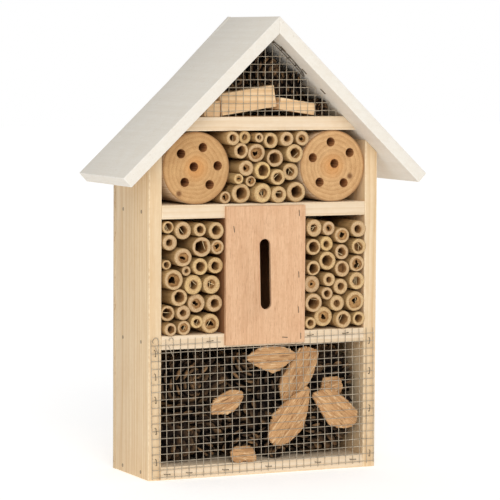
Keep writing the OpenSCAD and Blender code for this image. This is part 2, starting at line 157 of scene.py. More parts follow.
def length_of(tree, vector):
    """The length of a vector."""
    node = add(tree, "VectorMath", {"operation": "LENGTH"})
    feed(tree, node.inputs[0], vector)
    return node.outputs["Value"]


def attribute(tree, name):
    """A number that the mesh carries at each point."""
    return add(tree, "Attribute", {"attribute_name": name}).outputs["Fac"]


def new_group(name, inputs, outputs):
    """An empty node group; gives it with its inner input and output sockets."""
    group = bpy.data.node_groups.new(name, "ShaderNodeTree")
    for label, kind, value in inputs:
        socket = group.interface.new_socket(label, in_out="INPUT", socket_type="NodeSocket" + kind)
        socket.default_value = value
    for label, kind in outputs:
        group.interface.new_socket(label, in_out="OUTPUT", socket_type="NodeSocket" + kind)
    start = group.nodes.new("NodeGroupInput")
    end = group.nodes.new("NodeGroupOutput")
    return group, start.outputs, end.inputs


def place_group(tree, group, **inputs):
    """Puts a node group into a material with its own values; gives its outputs."""
    node = tree.nodes.new("ShaderNodeGroup")
    node.node_tree = group
    for name, value in inputs.items():
        feed(tree, node.inputs[name.replace("_", " ")], value)
    return node.outputs


print("a mid grey in linear light:", round(tint(128, 128, 128)[0], 3))

# %% [markdown]
# ## Wood as a solid
# Boards, logs, blocks and chips are all cut from a trunk. A flat picture of wood would
# show the same stripes on the end as on the side. Here the rings are cylinders round the
# pith, so each cut shows what a saw would: lines along a board, arcs on its end, circles
# on a log. The vector is in millimetres with the fibres along Z.

# %% Node group: wood grain
def make_wood_grain():
    group, given, result = new_group("wood_grain", [
        ("Vector", "Vector", (0, 0, 0)),
        ("Pith", "Vector", (0, 0, 0)),
        ("Ring Width", "Float", 3.0),
        ("Wobble", "Float", 3.0),
        ("Rings", "Float", 0.5),
        ("Fibres", "Float", 0.5),
        ("Streaks", "Float", 0.5),
        ("Early Wood", "Color", (0.8, 0.6, 0.4, 1)),
        ("Late Wood", "Color", (0.5, 0.3, 0.15, 1)),
    ], [("Color", "Color"), ("Height", "Float")])
    slow = vector_step(group, "MULTIPLY", given["Vector"], (0.03, 0.03, 0.006))
    drift = add(group, "TexNoise", None, Vector=slow, Scale=1.0, Detail=2.0)
    centred = vector_step(group, "SUBTRACT", drift.outputs["Color"], (0.5, 0.5, 0.5))
    reach = add(group, "CombineXYZ", None, X=given["Wobble"], Y=given["Wobble"])
    moved = vector_step(group, "MULTIPLY_ADD", centred, reach.outputs[0], given["Vector"])
    from_pith = vector_step(group, "SUBTRACT", moved, given["Pith"])
    across = vector_step(group, "MULTIPLY", from_pith, (1, 1, 0))
    year = calculate(group, "DIVIDE", length_of(group, across), given["Ring Width"])
    part = calculate(group, "FRACT", year)
    rising = spread(group, part, 0.25, 0.85)
    falling = spread(group, part, 0.9, 1.0, 1.0, 0.0)
    ring = calculate(group, "MULTIPLY", rising, falling)

    thin = vector_step(group, "MULTIPLY", given["Vector"], (1.6, 1.6, 0.06))
    fibre = add(group, "TexNoise", None, Vector=thin, Scale=1.0, Detail=3.0, Roughness=0.6)
    broad = vector_step(group, "MULTIPLY", given["Vector"], (0.22, 0.22, 0.008))
    streak = add(group, "TexNoise", None, Vector=broad, Scale=1.0, Detail=2.0)
    fibre_part = spread(group, fibre.outputs["Fac"], 0.3, 0.7, -0.5, 0.5)
    streak_part = spread(group, streak.outputs["Fac"], 0.3, 0.7, -0.5, 0.5)
    amount = calculate(group, "MULTIPLY", ring, given["Rings"])
    amount = calculate(group, "MULTIPLY_ADD", fibre_part, given["Fibres"], amount)
    amount = calculate(group, "MULTIPLY_ADD", streak_part, given["Streaks"], amount)
    shade = calculate(group, "ADD", amount, 0.2, clamp=True)
    feed(group, result["Color"], blend(group, shade, given["Early Wood"], given["Late Wood"]))
    feed(group, result["Height"], calculate(group, "SUBTRACT", 1.0, shade))
    return group


wood_grain = make_wood_grain()
print("group:", wood_grain.name, "with", len(wood_grain.nodes), "nodes")

# %% [markdown]
# ## Wear and dirt
# Sawn edges break a little and pick up dust, and every surface has patches that are a bit
# darker. Edge wear follows the faces that the bevel tool made, which carry a mark called
# eased. The patches come from two sizes of noise, so that they never look like one stamp.

# %% Node groups: edge wear and patches
def make_edge_wear():
    group, given, result = new_group("edge_wear", [
        ("Vector", "Vector", (0, 0, 0)),
        ("Scale", "Float", 0.4),
        ("Amount", "Float", 0.6),
    ], [("Mask", "Float")])
    chips = add(group, "TexNoise", None, Vector=given["Vector"], Scale=given["Scale"], Detail=3.0)
    rough = spread(group, chips.outputs["Fac"], 0.35, 0.6)
    worn = calculate(group, "MULTIPLY", attribute(group, "eased"), rough)
    feed(group, result["Mask"], calculate(group, "MULTIPLY", worn, given["Amount"]))
    return group


def make_patches():
    group, given, result = new_group("patches", [
        ("Vector", "Vector", (0, 0, 0)),
        ("Size", "Float", 20.0),
        ("Amount", "Float", 0.3),
    ], [("Mask", "Float")])
    scale = calculate(group, "DIVIDE", 1.0, given["Size"])
    large = add(group, "TexNoise", None, Vector=given["Vector"], Scale=scale, Detail=2.0)
    small_scale = calculate(group, "MULTIPLY", scale, 7.0)
    small = add(group, "TexNoise", None, Vector=given["Vector"], Scale=small_scale, Detail=2.0)
    both = calculate(group, "MULTIPLY", large.outputs["Fac"], small.outputs["Fac"])
    soft = spread(group, both, 0.16, 0.42)
    feed(group, result["Mask"], calculate(group, "MULTIPLY", soft, given["Amount"]))
    return group


def make_specks():
    group, given, result = new_group("specks", [
        ("Vector", "Vector", (0, 0, 0)),
        ("Stretch", "Vector", (1, 1, 1)),
        ("Amount", "Float", 0.5),
        ("Rarity", "Float", 0.6),
    ], [("Mask", "Float")])
    stretched = vector_step(group, "MULTIPLY", given["Vector"], given["Stretch"])
    field = add(group, "TexNoise", None, Vector=stretched, Scale=1.0, Detail=2.0, Roughness=0.7)
    edge = calculate(group, "ADD", given["Rarity"], 0.06)
    found = spread(group, field.outputs["Fac"], given["Rarity"], edge)
    feed(group, result["Mask"], calculate(group, "MULTIPLY", found, given["Amount"]))
    return group


edge_wear = make_edge_wear()
patches = make_patches()
specks = make_specks()
print("groups:", [group.name for group in bpy.data.node_groups])

# %% [markdown]
# ## How every material starts
# Each material needs the same first nodes: a shader, the place of a point in millimetres,
# and a Mapping node that turns the fibres along the piece. Object coordinates are used,
# because they stay with the piece when it moves, and only the chips follow their own map.

# %% Start of every material
along_z = (0, 0, 0)
along_x = (0, math.radians(-90), 0)
along_y = (math.radians(90), 0, 0)


def new_material(name, turn=along_z, uv=False):
    """A material with its tree, its shader and a vector in millimetres along the fibres."""
    material = bpy.data.materials.new(name)
    material.use_nodes = True
    tree = material.node_tree
    shader = tree.nodes["Principled BSDF"]
    place = add(tree, "TexCoord").outputs["UV" if uv else "Object"]
    scale = (1, 1, 1) if uv else (1 / mm,) * 3
    mapping = add(tree, "Mapping", None, Vector=place, Rotation=turn, Scale=scale)
    return material, tree, shader, mapping.outputs[0]


def bump(tree, shader, height, strength, depth):
    """Feeds a height through a Bump node into the shader's normal."""
    node = add(tree, "Bump", None, Height=height, Strength=strength, Distance=depth)
    feed(tree, shader.inputs["Normal"], node.outputs[0])


print("turn for fibres along x, in degrees:", round(math.degrees(along_x[1])))

# %% [markdown]
# ## Sawn pine
# The side boards stand upright and the shelves lie across, so they are the same pine with
# the fibres turned and the pith moved. Each board could have a material of its own. Three
# are enough here, because the solid grain already differs from board to board.

# %% Material: pine boards
def make_pine(name, turn, pith, early, late, rings, streaks):
    material, tree, shader, where = new_material(name, turn)
    wood = place_group(tree, wood_grain, Vector=where, Pith=pith, Ring_Width=4.2, Wobble=7.0,
                       Rings=rings, Fibres=0.35, Streaks=streaks, Early_Wood=early, Late_Wood=late)
    dirt = place_group(tree, patches, Vector=where, Size=26.0, Amount=0.25)
    worn = place_group(tree, edge_wear, Vector=where, Amount=0.5)
    colour = blend(tree, dirt["Mask"], wood["Color"], late)
    colour = blend(tree, worn["Mask"], colour, tint(250, 232, 200))
    feed(tree, shader.inputs["Base Color"], colour)
    feed(tree, shader.inputs["Roughness"], spread(tree, wood["Height"], 0, 1, 0.75, 0.55))
    shader.inputs["Specular IOR Level"].default_value = 0.3
    bump(tree, shader, wood["Height"], 0.5, 0.15 * mm)
    return material


side_pine = make_pine("side_pine", along_z, (-70, 30, 0),
                      tint(231, 207, 171), tint(210, 174, 128), 0.4, 0.4)
shelf_pine = make_pine("shelf_pine", along_x, (40, -30, 0),
                       tint(235, 216, 190), tint(219, 190, 150), 0.35, 0.35)
offcut_pine = make_pine("offcut_pine", along_x, (12, 22, 0),
                        tint(246, 216, 174), tint(220, 176, 124), 0.45, 0.6)
print("pine materials:", side_pine.name, shelf_pine.name, offcut_pine.name)

# %% [markdown]
# ## Whitewashed roof
# The roof boards have one thin coat of off-white paint. It fills most of the grain but
# not all, so the grain shows in the height and very faintly in the colour, and the sawn
# edges have taken the paint best.

# %% Material: roof paint
def make_roof_paint():
    material, tree, shader, where = new_material("roof_paint", along_y)
    wood = place_group(tree, wood_grain, Vector=where, Pith=(0, 200, 0), Ring_Width=5.0, Wobble=8.0,
                       Rings=0.1, Fibres=0.35, Streaks=0.25,
                       Early_Wood=tint(234, 229, 219), Late_Wood=tint(220, 212, 198))
    dirt = place_group(tree, patches, Vector=where, Size=11.0, Amount=0.4)
    pits = place_group(tree, specks, Vector=where, Stretch=(0.5, 0.5, 0.5), Amount=0.3, Rarity=0.66)
    worn = place_group(tree, edge_wear, Vector=where, Amount=0.6)
    colour = blend(tree, dirt["Mask"], wood["Color"], tint(226, 216, 200))
    colour = blend(tree, pits["Mask"], colour, tint(190, 172, 146))
    colour = blend(tree, worn["Mask"], colour, tint(242, 238, 230))
    feed(tree, shader.inputs["Base Color"], colour)
    shader.inputs["Roughness"].default_value = 0.6
    bump(tree, shader, wood["Height"], 0.4, 0.12 * mm)
    return material


roof_paint = make_roof_paint()
print("nodes in the roof paint:", len(roof_paint.node_tree.nodes))

# %% [markdown]
# ## Plywood
# The front panel is thin tropical plywood: an even pink-brown face with short dark pores
# that run up and down. The back panel is a paler board. The hidden dividers are painted
# dark as the shade in the compartment behind the front panel. Pores are specks of noise
# that are stretched along the fibres, and the darker glue lines show only on the cut edge.

# %% Material: plywood
def make_plywood(name, layers_from, face, vein):
    material, tree, shader, where = new_material(name)
    wood = place_group(tree, wood_grain, Vector=where, Pith=(20, 160, 0), Ring_Width=7.0, Wobble=12.0,
                       Rings=0.08, Fibres=0.6, Streaks=0.35, Early_Wood=face, Late_Wood=vein)
    pores = place_group(tree, specks, Vector=where, Stretch=(1.9, 0.2, 0.16),
                        Amount=0.38, Rarity=0.59)
    dirt = place_group(tree, patches, Vector=where, Size=12.0, Amount=0.3)
    depth = add(tree, "SeparateXYZ", None, Vector=where).outputs["Y"]
    layer = calculate(tree, "PINGPONG", calculate(tree, "SUBTRACT", depth, layers_from), 1.0)
    core = spread(tree, layer, 0.75, 0.95)
    core_on_cut = calculate(tree, "MULTIPLY", core, attribute(tree, "cut_edge"))
    colour = blend(tree, pores["Mask"], wood["Color"], tint(150, 92, 56))
    colour = blend(tree, dirt["Mask"], colour, vein)
    glue = calculate(tree, "MULTIPLY", core_on_cut, 0.6)
    colour = blend(tree, glue, colour, tint(150, 104, 66))
    feed(tree, shader.inputs["Base Color"], colour)
    shader.inputs["Roughness"].default_value = 0.62
    shader.inputs["Specular IOR Level"].default_value = 0.3
    bump(tree, shader, wood["Height"], 0.35, 0.12 * mm)
    return material


panel_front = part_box("front_panel")[0].y / mm
back_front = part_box("back_panel")[0].y / mm
front_plywood = make_plywood("front_plywood", panel_front,
                             tint(226, 185, 147), tint(197, 147, 107))
back_plywood = make_plywood("back_plywood", back_front,
                            tint(226, 204, 168), tint(196, 164, 122))
# The dividers' dark colour is painted shade inside the compartment behind the front panel.
shaded_divider_plywood = make_plywood("shaded_divider_plywood", back_front,
                               tint(150, 104, 68), tint(112, 72, 44))
print("plywood faces at", round(panel_front, 1), "and", round(back_front, 1), "mm")

# %% [markdown]
# ## Boards with eased edges
# A sawn board never has a knife-sharp edge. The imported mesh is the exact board, but as
# loose triangles. So a copy is merged, its flat faces are joined again, and the sharp
# edges get a small round. The new faces are marked eased for the edge wear.

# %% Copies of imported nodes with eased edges
def finish_piece(bm, name, materials, nodes=(), body=house, smooth=40):
    """Turns a bmesh into a piece of the object that rides on a body."""
    mesh = bpy.data.meshes.new(name)
    bm.to_mesh(mesh)
    bm.free()
    mesh.shade_smooth()
    mesh.set_sharp_from_angle(angle=math.radians(smooth))
    for material in materials:
        mesh.materials.append(material)
    piece = bpy.data.objects.new(name, mesh)
    bpy.context.scene.collection.objects.link(piece)
    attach(piece, body)
    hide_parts(*nodes)
    return piece


def merged_copy(node):
    """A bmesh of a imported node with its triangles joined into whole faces."""
    bm = bmesh.new()
    bm.from_mesh(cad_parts[node].data)
    bmesh.ops.remove_doubles(bm, verts=bm.verts, dist=0.002 * mm)
    bmesh.ops.dissolve_limit(bm, angle_limit=math.radians(0.5), verts=bm.verts, edges=bm.edges)
    return bm


def ease_edges(bm, width, segments=2, from_angle=30):
    """Rounds the sharp edges and marks the new faces."""
    mark = bm.faces.layers.float.new("eased")
    sharp = [edge for edge in bm.edges if edge.calc_face_angle(0) > math.radians(from_angle)]
    made = bmesh.ops.bevel(bm, geom=sharp, offset=width, offset_type="OFFSET", segments=segments,
                           profile=0.5, affect="EDGES", material=-1, clamp_overlap=True)
    for face in made["faces"]:
        face[mark] = 1.0


def eased_board(node, material, width=0.5 * mm, segments=2, body=house):
    bm = merged_copy(node)
    ease_edges(bm, width, segments)
    return finish_piece(bm, "eased_" + node, [material], [node], body)


for node in ("left_side_board", "right_side_board"):
    eased_board(node, side_pine, 0.8 * mm)
for node in ("bottom_board", "lower_shelf", "middle_shelf", "top_shelf"):
    eased_board(node, shelf_pine, 0.6 * mm)
for node in ("left_divider", "right_divider"):
    eased_board(node, shaded_divider_plywood)
for node in ("left_roof_board", "right_roof_board"):
    eased_board(node, roof_paint, 0.7 * mm, 3)
for node in ("large_attic_block", "small_attic_block", "right_attic_block"):
    eased_board(node, offcut_pine, 0.4 * mm)

# %% [markdown]
# ## Front and back panels
# The two plywood panels also show their layers on the cut edges. Every face that doesn't
# look forwards or backwards is such an edge, so those faces are marked before the easing.
# The roof's paint has run over the sloping edges of the back panel.

# %% Plywood panels
def plywood_panel(node, materials):
    bm = merged_copy(node)
    cut = bm.faces.layers.float.new("cut_edge")
    for face in bm.faces:
        face[cut] = 1.0 if abs(face.normal.y) < 0.5 else 0.0
    ease_edges(bm, 0.25 * mm, 1)
    for face in bm.faces:
        sloped = 0.3 < face.normal.z < 0.9
        face.material_index = len(materials) - 1 if sloped else 0
    return finish_piece(bm, "eased_" + node, materials, [node])


plywood_panel("front_panel", [front_plywood])
plywood_panel("back_panel", [back_plywood, roof_paint])
print("nodes in the panels' material:", len(front_plywood.node_tree.nodes))

# %% [markdown]
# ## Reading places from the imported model
# Tubes, wires, staples and cones come several to a node. The script could repeat their
# places as numbers. Instead it splits a node's mesh into its separate solids and
# measures each one, so the pieces follow the CAD if a size changes. The solids are put in
# a fixed order, and directions get a fixed sign, so that each run gives the same result.

# %% Separate solids of a node
def corners_of(points):
    """The lowest and the highest corner of some points, to sort solids by."""
    return tuple(np.round((points.min(0), points.max(0)), 5).flatten())


def solids(node):
    """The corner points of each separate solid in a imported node, in a fixed order."""
    bm = bmesh.new()
    bm.from_mesh(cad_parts[node].data)
    bmesh.ops.remove_doubles(bm, verts=bm.verts, dist=0.002 * mm)
    bm.verts.index_update()
    seen = set()
    found = []
    for first in bm.verts:
        border = [first]
        island = []
        while border:
            corner = border.pop()
            if corner.index in seen:
                continue
            seen.add(corner.index)
            island.append(corner.co[:])
            border += [edge.other_vert(corner) for edge in corner.link_edges]
        if island:
            found.append(np.array(island))
    bm.free()
    return sorted(found, key=corners_of)


def direction_of(points):
    """The middle of some points, and the direction in which they are longest."""
    middle = points.mean(0)
    _, _, axes = np.linalg.svd(points - middle)
    along = Vector(axes[0])
    against = along.x + along.z < 0
    return Vector(middle), -along if against else along


def join_into(bm, part):
    """Adds one bmesh to another, and frees it."""
    carrier = bpy.data.meshes.new("carrier")
    part.to_mesh(carrier)
    part.free()
    bm.from_mesh(carrier)
    bpy.data.meshes.remove(carrier)


print("cones in the attic:", len(solids("attic_cones")))

# %% [markdown]
# ## Bamboo
# Bamboo has three finishes: a smooth waxy skin, a pale sawn rim with dark fibre bundles,
# and a bore whose colour darkens with depth, which is painted shade. Three materials on one
# piece are the simplest way. The mesh carries each tube's own tone, and how far across and
# how deep a point is, because Object coordinates alone can't tell where one tube ends and
# the next begins.

# %% Materials: bamboo
def bamboo_base(name):
    material, tree, shader, where = new_material(name, along_y)
    return material, tree, shader, where, attribute(tree, "tone")


def make_bamboo_skin():
    material, tree, shader, where, tone = bamboo_base("bamboo_skin")
    straw = blend(tree, tone, tint(192, 158, 110), tint(222, 190, 132))
    lines = place_group(tree, wood_grain, Vector=where, Ring_Width=50.0, Rings=0.0, Fibres=0.8,
                        Streaks=0.8, Early_Wood=straw, Late_Wood=tint(150, 116, 70))
    stain = place_group(tree, patches, Vector=where, Size=9.0, Amount=0.5)
    colour = blend(tree, stain["Mask"], lines["Color"], tint(142, 108, 64))
    feed(tree, shader.inputs["Base Color"], colour)
    shader.inputs["Roughness"].default_value = 0.42
    bump(tree, shader, lines["Height"], 0.3, 0.1 * mm)
    return material


def make_bamboo_rim():
    material, tree, shader, where, tone = bamboo_base("bamboo_rim")
    across = attribute(tree, "across")
    pale = blend(tree, tone, tint(210, 179, 140), tint(234, 200, 132))
    flesh = blend(tree, spread(tree, across, 0.0, 0.35), tint(172, 132, 88), pale)
    bundles = place_group(tree, specks, Vector=where, Stretch=(1.7, 1.7, 0.1),
                          Amount=0.7, Rarity=0.5)
    dotted = blend(tree, bundles["Mask"], flesh, tint(168, 132, 90))
    fuzz = place_group(tree, patches, Vector=where, Size=5.0, Amount=0.6)
    dotted = blend(tree, fuzz["Mask"], dotted, tint(186, 152, 112))
    skin = spread(tree, across, 0.78, 1.0, 0.0, 0.85)
    feed(tree, shader.inputs["Base Color"], blend(tree, skin, dotted, tint(142, 110, 70)))
    shader.inputs["Roughness"].default_value = 0.72
    shader.inputs["Specular IOR Level"].default_value = 0.25
    bump(tree, shader, bundles["Mask"], 0.4, 0.1 * mm)
    return material


def make_bamboo_bore():
    material, tree, shader, where, tone = bamboo_base("bamboo_bore")
    near = blend(tree, tone, tint(186, 142, 92), tint(200, 160, 104))
    # The bore's colour darkens towards the depth of the tube: painted shade inside the bore.
    shaded_by_depth = blend(tree, attribute(tree, "depth"), near, tint(92, 60, 34))
    fuzz = place_group(tree, patches, Vector=where, Size=4.0, Amount=0.8)
    colour = blend(tree, fuzz["Mask"], shaded_by_depth, tint(96, 62, 34))
    feed(tree, shader.inputs["Base Color"], colour)
    shader.inputs["Roughness"].default_value = 0.85
    shader.inputs["Specular IOR Level"].default_value = 0.15
    bump(tree, shader, fuzz["Mask"], 0.5, 0.2 * mm)
    return material


bamboo_finish = [make_bamboo_skin(), make_bamboo_rim(), make_bamboo_bore()]
print("bamboo:", [material.name for material in bamboo_finish])

# %% [markdown]
# ## Shape of the tubes
# Each tube is a sawn length of thin bamboo with a swollen joint here and there, and a
# bore that a thin wall may close. A cylinder would look like plastic pipe. A profile that
# is spun once, then pressed slightly oval and wobbled, gives the rim and the bore their
# uneven width. Some bores keep a torn skin just behind the rim, which is a narrow step of
# the same profile, made ragged by noise.

# %% Bamboo tubes
spin_steps = 28
skin_part, rim_part, bore_part = 0, 1, 2
share_with_torn_skin = 0.28
# Depth at which the painted shade in a bore is at its darkest.
painted_shade_depth = 14 * mm
mouths = []


def ease_of(radius):
    """How much the sawn edge of a tube is rounded."""
    return 0.04 * radius


def tube_profile(radius, bore, length, joint, wall_at, skin_at):
    """Points from the middle of the back end round to the wall that closes the bore.

    If skin_at isn't 0, a torn skin stands in the bore at that depth.
    """
    ease = ease_of(radius)
    outline = [(0, length), (radius - ease, length), (radius, length - ease)]
    for step, swell in ((1.6, 1.0), (0.5, 1.05), (0, 1.0), (-0.5, 1.045), (-1.6, 1.0)):
        outline.append((radius * swell, joint + step * mm))
    outline += [(radius, 3 * ease), (radius * 0.995, ease), (radius * 0.96, 0)]
    outline += [((radius + bore) / 2, -0.1 * ease), (bore * 1.06, 0), (bore, 1.5 * ease)]
    if skin_at:
        hole = bore * 0.5
        outline += [(bore * 0.97, skin_at), (hole, skin_at + 0.2 * mm), (hole, skin_at + 0.5 * mm)]
        outline.append((bore * 0.95, skin_at + 1.1 * mm))
        wall_at = 30 * mm
    outline += [(bore * 0.97, wall_at * 0.5), (bore * 0.9, wall_at), (bore * 0.4, wall_at * 1.05)]
    outline.append((0, wall_at * 1.06))
    return outline


def add_tube(bm, points, rng):
    """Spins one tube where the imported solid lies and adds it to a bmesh."""
    low, high = points.min(0), points.max(0)
    middle = Vector(((low[0] + high[0]) / 2, low[1], (low[2] + high[2]) / 2))
    radius = (high[0] - low[0]) / 2
    bore = radius * rng.uniform(0.42, 0.64)
    wall_at = rng.choice([6, 12, 24, 38, 44, 48]) * mm * rng.uniform(0.8, 1.05)
    joint = rng.uniform(4, 50) * mm
    torn_skin = rng.random() < share_with_torn_skin
    skin_at = rng.uniform(0.5, 2.5) * mm if torn_skin else 0
    outline = tube_profile(radius, bore, high[1] - low[1], joint, wall_at, skin_at)
    tube = bmesh.new()
    chain = [tube.verts.new((x, y, 0)) for x, y in outline]
    edges = [tube.edges.new(pair) for pair in zip(chain, chain[1:])]
    bmesh.ops.spin(tube, geom=chain + edges, cent=(0, 0, 0), axis=(0, 1, 0), dvec=(0, 0, 0),
                   angle=2 * math.pi, steps=spin_steps, use_merge=True, use_duplicate=False)
    bmesh.ops.remove_doubles(tube, verts=tube.verts, dist=0.003 * mm)
    bmesh.ops.recalc_face_normals(tube, faces=tube.faces)
    layers = {name: tube.verts.layers.float.new(name) for name in ("tone", "across", "depth")}
    tone = min(1.0, abs(rng.gauss(0.2, 0.3)))
    for face in tube.faces:
        centre = face.calc_center_median()
        out = math.hypot(centre.x, centre.z)
        if out > radius * 0.965 or centre.y > high[1] - low[1] - 1 * mm:
            face.material_index = skin_part
        elif centre.y < 0.35 * ease_of(radius) + 0.05 * mm and out > bore:
            face.material_index = rim_part
        else:
            face.material_index = bore_part
    offset = Vector((rng.uniform(-1, 1), rng.uniform(-1, 1), 0)) * radius * 0.07
    seed_place = Vector((rng.uniform(0, 90), 0, rng.uniform(0, 90)))
    for vert in tube.verts:
        out = math.hypot(vert.co.x, vert.co.z)
        share = (out - bore) / (radius - bore)
        vert[layers["tone"]] = tone
        vert[layers["across"]] = max(0.0, min(1.0, share))
        # How deep a point lies, which drives the painted shade of the bore.
        vert[layers["depth"]] = min(1.0, max(0.0, vert.co.y / painted_shade_depth))
        lean = noise.noise(Vector((vert.co.x, 0, vert.co.z)) / radius * 0.9 + seed_place)
        inner = 1 - max(0.0, min(1.0, share))
        torn = noise.noise(Vector((vert.co.x, 0, vert.co.z)) / radius * 3.1 + seed_place)
        factor = 1 + (0.12 * lean + 0.16 * torn) * inner - 0.03 * abs(lean)
        if 0.2 * bore < out < 0.8 * bore and vert.co.y < 4 * mm:
            factor += 0.9 * torn
        vert.co.x = vert.co.x * factor + offset.x * inner
        vert.co.z = vert.co.z * factor + offset.y * inner
    turn = Matrix.Rotation(rng.uniform(0, 2 * math.pi), 4, "Y")
    squeeze = Matrix.Diagonal((1.0, 1.0, rng.uniform(0.95, 1.0), 1.0))
    tube.transform(Matrix.Translation(middle) @ turn @ squeeze)
    mouths.append((middle, bore))
    join_into(bm, tube)


def from_left(points):
    """Where a tube comes in its node: from the left, then from below."""
    return round(points[:, 0].min(), 5), round(points[:, 2].min(), 5)


bamboo_nodes = sorted(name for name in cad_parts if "_bamboo_" in name)
rng = random.Random(5)
tubes_made = 0
for node in bamboo_nodes:
    bm = bmesh.new()
    for points in sorted(solids(node), key=from_left):
        add_tube(bm, points, rng)
        tubes_made += 1
    finish_piece(bm, "spun_" + node, bamboo_finish, [node], smooth=50)
print("tubes:", tubes_made, "in", len(bamboo_nodes), "pieces")

# %% [markdown]
# ## Drilled logs
# A log is a slice of trunk with its bark off. Its face shows the rings round the pith, a
# knot, a darker line where the bark was and a few drying cracks that run outwards. The
# flank is paler, partly its own wood and partly painted light, and the walls of the holes
# are painted darker as the shade inside them.
# The cracks are noise on the angle round the pith, so they always point at it.

# %% Materials: logs
def make_log_wood(name, node, light, knot):
    low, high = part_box(node)
    radius = (high.x - low.x) / 2 / mm
    pith = Vector(((low.x + high.x) / 2, -(low.z + high.z) / 2, 0)) / mm
    material, tree, shader, where = new_material(name, along_y)
    wood = place_group(tree, wood_grain, Vector=where, Pith=pith, Ring_Width=3.4, Wobble=10.0,
                       Rings=0.36, Fibres=0.7, Streaks=0.3,
                       Early_Wood=light, Late_Wood=tint(174, 128, 80))
    from_pith = vector_step(tree, "SUBTRACT", where, tuple(pith))
    parts = add(tree, "SeparateXYZ", None, Vector=from_pith).outputs
    angle = calculate(tree, "ARCTAN2", parts["Y"], parts["X"])
    out = length_of(tree, vector_step(tree, "MULTIPLY", from_pith, (1, 1, 0)))
    ray = add(tree, "CombineXYZ", None, X=calculate(tree, "MULTIPLY", angle, 3.2),
              Y=calculate(tree, "MULTIPLY", out, 0.03))
    rays = add(tree, "TexNoise", None, Vector=ray.outputs[0], Scale=1.0, Detail=4.0, Roughness=0.7)
    open_ray = spread(tree, rays.outputs["Fac"], 0.66, 0.7)
    crack = calculate(tree, "MULTIPLY", open_ray, spread(tree, out, 5.0, 12.0))
    dirt = place_group(tree, patches, Vector=where, Size=7.0, Amount=0.35)
    heart = spread(tree, out, 12.0, 4.0, 0.0, 0.55)
    colour = blend(tree, heart, wood["Color"], tint(214, 146, 78))
    from_knot = vector_step(tree, "SUBTRACT", from_pith, (*knot, 0))
    near_knot = length_of(tree, vector_step(tree, "MULTIPLY", from_knot, (1, 1, 0)))
    eye = spread(tree, near_knot, 3.0, 1.2, 0.0, 0.95)
    bark_line = spread(tree, out, radius - 1.6, radius - 0.3, 0.0, 0.6)
    colour = blend(tree, calculate(tree, "MAXIMUM", eye, bark_line), colour, tint(112, 72, 42))
    colour = blend(tree, dirt["Mask"], colour, tint(172, 122, 74))
    colour = blend(tree, calculate(tree, "MULTIPLY", crack, 0.7), colour, tint(120, 78, 44))
    feed(tree, shader.inputs["Base Color"], colour)
    shader.inputs["Roughness"].default_value = 0.75
    shader.inputs["Specular IOR Level"].default_value = 0.25
    relief = calculate(tree, "SUBTRACT", wood["Height"], crack)
    bump(tree, shader, relief, 0.6, 0.25 * mm)
    return material


def make_plain_log(name, light, dark):
    material, tree, shader, where = new_material(name, along_y)
    wood = place_group(tree, wood_grain, Vector=where, Ring_Width=2.0, Rings=0.4, Fibres=0.8,
                       Streaks=0.6, Early_Wood=light, Late_Wood=dark)
    feed(tree, shader.inputs["Base Color"], wood["Color"])
    shader.inputs["Roughness"].default_value = 0.8
    bump(tree, shader, wood["Height"], 0.5, 0.2 * mm)
    return material


# The walls of the holes are painted darker as the shade inside them.
shaded_hole_wood = make_plain_log("shaded_hole_wood", tint(176, 120, 70), tint(110, 66, 34))
# The flank's paler colour is partly its own wood and partly painted light.
pale_lit_log_flank = make_plain_log("pale_lit_log_flank", tint(226, 202, 170), tint(178, 142, 102))
print("plain log finishes:", shaded_hole_wood.name, pale_lit_log_flank.name)

# %% [markdown]
# ## Shape of the logs
# The holes could be cut with a Boolean modifier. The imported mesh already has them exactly,
# so a copy of it is merged and eased, which also rounds the mouth of each hole. The faces
# that don't look forwards are inside a hole when they are near the pith, and else on the
# flank.

# %% Drilled logs
def drilled_log(node, light, knot):
    bm = merged_copy(node)
    low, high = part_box(node)
    middle = (low + high) / 2
    radius = (high.x - low.x) / 2
    ease_edges(bm, 0.35 * mm, 2, 50)
    for face in bm.faces:
        centre = face.calc_center_median() - middle
        inside = math.hypot(centre.x, centre.z) < radius - 1.5 * mm
        if abs(face.normal.y) < 0.3:
            face.material_index = 1 if inside else 2
    finish = [make_log_wood(node + "_wood", node, light, knot), shaded_hole_wood, pale_lit_log_flank]
    return finish_piece(bm, "eased_" + node, finish, [node], smooth=35)


drilled_log("left_log", tint(212, 170, 118), (-14, 19))
drilled_log("right_log", tint(219, 178, 128), (15, 8))

# %% [markdown]
# ## Pine cone bark
# A dry cone is grey-brown on the tips of its scales, and no two tips are equally pale.
# Towards each scale's root the colour goes nearly black, which is painted shade between the
# scales. The mesh carries the distance from a scale's root and a tone for each scale. Noise
# alone would put the pale patches anywhere.

# %% Material: pine cone
def make_cone_bark():
    material, tree, shader, where = new_material("cone_bark")
    end_colour = blend(tree, attribute(tree, "tone"), tint(38, 25, 16), tint(158, 122, 84))
    # The nearly black colour at each scale's root is painted shade between the scales.
    pale = spread(tree, attribute(tree, "tip"), 0.55, 1.0)
    bark_with_root_shade = blend(tree, pale, tint(24, 14, 9), end_colour)
    grime = place_group(tree, patches, Vector=where, Size=5.0, Amount=0.8)
    feed(tree, shader.inputs["Base Color"], blend(tree, grime["Mask"], bark_with_root_shade, tint(34, 22, 15)))
    shader.inputs["Roughness"].default_value = 0.8
    shader.inputs["Specular IOR Level"].default_value = 0.25
    bump(tree, shader, grime["Mask"], 0.6, 0.3 * mm)
    return material


cone_bark = make_cone_bark()
print("nodes in the bark:", len(cone_bark.node_tree.nodes))

# %% [markdown]
# ## Shape of the cones
# The scales of a cone sit in a spiral round a spindle, each turned by the golden angle
# from the one before. A scale is a small rounded wedge with a raised tip, made from one
# cube. It is laid round the spindle 78 times with only a few dozen faces each. Three such
# cones are made, and each is copied many times with a turn of its own. The points that
# would stick through a wood chip are moved behind it.

# %% One pine cone
golden_angle = math.radians(137.5)
scales_per_cone = 78


